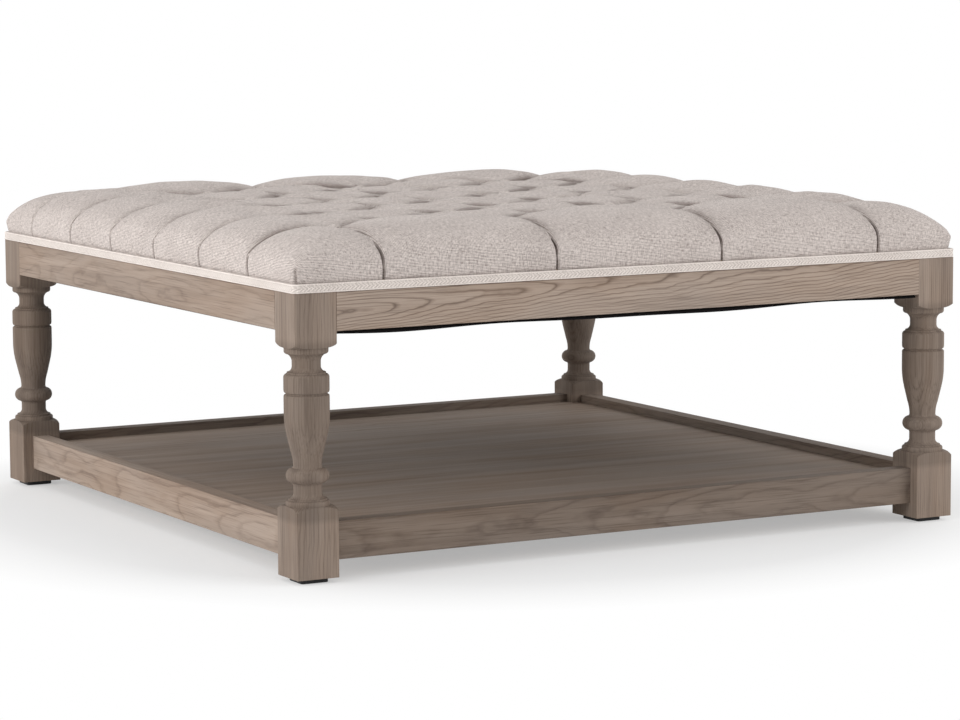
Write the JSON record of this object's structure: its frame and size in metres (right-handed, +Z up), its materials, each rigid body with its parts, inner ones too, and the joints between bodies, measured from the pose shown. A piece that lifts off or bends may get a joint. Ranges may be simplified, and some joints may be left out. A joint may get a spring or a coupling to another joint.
{
  "type": "ottoman coffee table",
  "caption": "Square ottoman coffee table: diamond tufted linen top on a weathered oak frame with turned legs and a low tray shelf.",
  "frame": {"origin": "on the floor under the middle of the table", "axes": "+Z up; +X to the right and +Y to the back, seen from the front; the diamonds of the tufting are long along X"},
  "size_m": [1.006, 1.006, 0.446],
  "materials": {
    "weathered_oak": "open grained oak, limed and weathered grey-brown, dead matt",
    "shelf_veneer": "veneered panel in a darker grey-brown, matt",
    "hidden_softwood": "bare sawn softwood",
    "plywood": "bare plywood",
    "foam": "open cell foam",
    "wadding": "loose polyester wadding",
    "linen": "natural oatmeal linen, plain weave, matt",
    "linen_button": "buttons covered in the same linen",
    "twine": "waxed twine",
    "braid": "flat woven gimp braid, paler than the linen",
    "black_cloth": "thin black non-woven cloth",
    "zinc_steel": "zinc plated",
    "black_plastic": "moulded, matt"
  },
  "bodies": {
    "root": {"leg_front_left": "weathered_oak", "leg_front_right": "weathered_oak", "leg_back_left": "weathered_oak", "leg_back_right": "weathered_oak", "seat_rail_front": "weathered_oak", "seat_rail_back": "weathered_oak", "seat_rail_left": "weathered_oak", "seat_rail_right": "weathered_oak", "shelf_rail_front": "weathered_oak", "shelf_rail_back": "weathered_oak", "shelf_rail_left": "weathered_oak", "shelf_rail_right": "weathered_oak", "shelf_panel": "shelf_veneer", "shelf_cleat_front": "hidden_softwood", "shelf_cleat_back": "hidden_softwood", "shelf_cleat_left": "hidden_softwood", "shelf_cleat_right": "hidden_softwood", "corner_block_front_left": "hidden_softwood", "corner_block_front_right": "hidden_softwood", "corner_block_back_left": "hidden_softwood", "corner_block_back_right": "hidden_softwood", "cross_rail_front": "hidden_softwood", "cross_rail_back": "hidden_softwood", "seat_board": "plywood", "foam_block": "foam", "wadding_layer": "wadding", "tufted_cover": "linen", "tuft_buttons": "linen_button", "tuft_twines": "twine", "twine_washers": "zinc_steel", "gimp_braid": "braid", "dust_cover": "black_cloth", "cover_staples": "zinc_steel", "dust_cover_staples": "zinc_steel", "seat_board_screws": "zinc_steel", "corner_block_screws": "zinc_steel", "cleat_screws": "zinc_steel", "shelf_screws": "zinc_steel", "glide_screws": "zinc_steel", "glide_front_left": "black_plastic", "glide_front_right": "black_plastic", "glide_back_left": "black_plastic", "glide_back_right": "black_plastic"}
  },
  "joints": []
}
